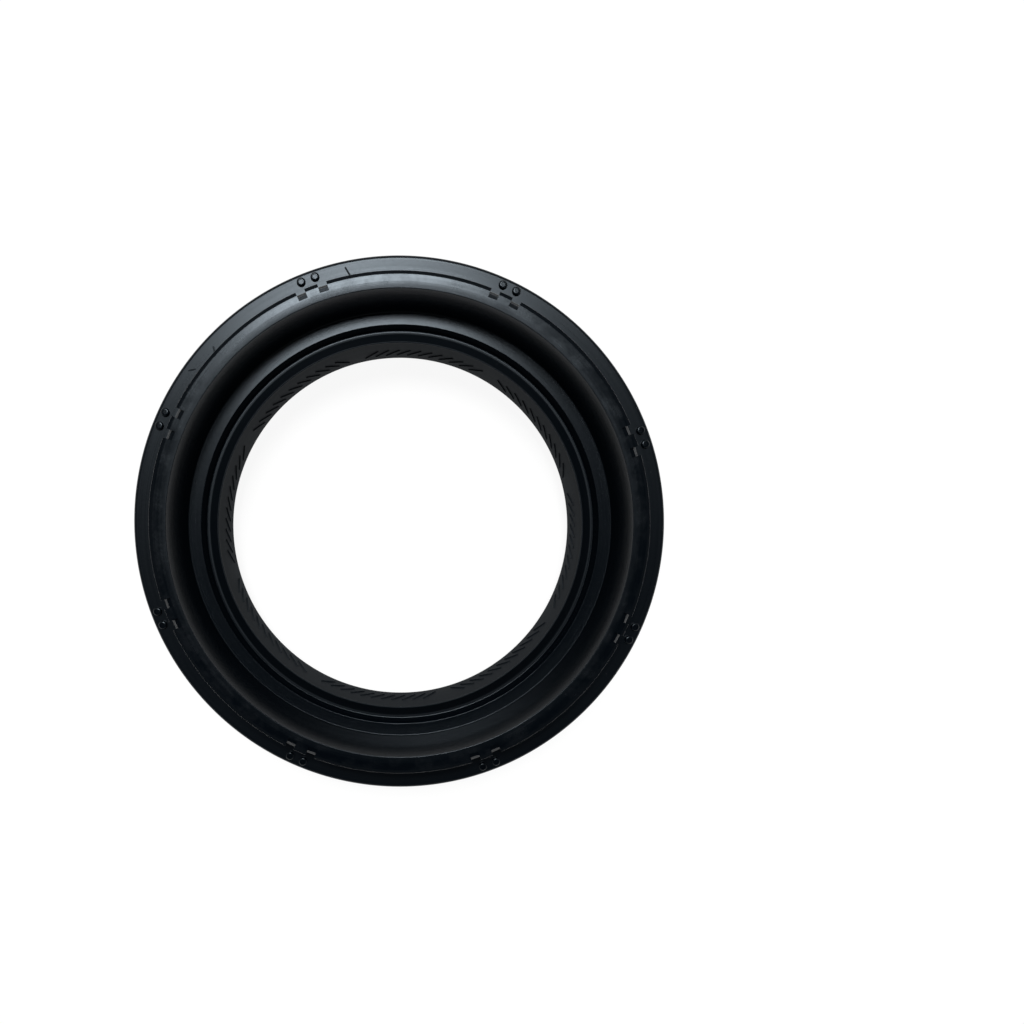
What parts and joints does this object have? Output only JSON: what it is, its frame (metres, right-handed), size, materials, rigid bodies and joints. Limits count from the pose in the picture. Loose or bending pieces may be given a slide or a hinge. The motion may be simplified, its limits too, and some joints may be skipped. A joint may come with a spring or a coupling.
{
  "type": "differential oil seal",
  "caption": "Rotary shaft oil seal for a differential: moulded rubber ring with a sprung lip, a dust lip and a flared dust skirt, over a pressed steel case.",
  "frame": {"origin": "on the seal's axis, in the plane of the oil side face on which it lies", "axes": "+Z along the shaft's axis towards the air side, so the flared skirt points up"},
  "size_m": [0.0742, 0.0742, 0.0185],
  "materials": {
    "rubber": "moulded nitrile rubber, satin black with fine concentric tool lines and a few mottled glossy bands",
    "case_steel": "phosphated pressed sheet steel, dull grey",
    "spring_steel": "drawn spring wire, bright with a thin film of oil"
  },
  "bodies": {
    "root": {"rubber_body": "rubber", "steel_case": "case_steel", "garter_spring": "spring_steel"}
  },
  "joints": []
}
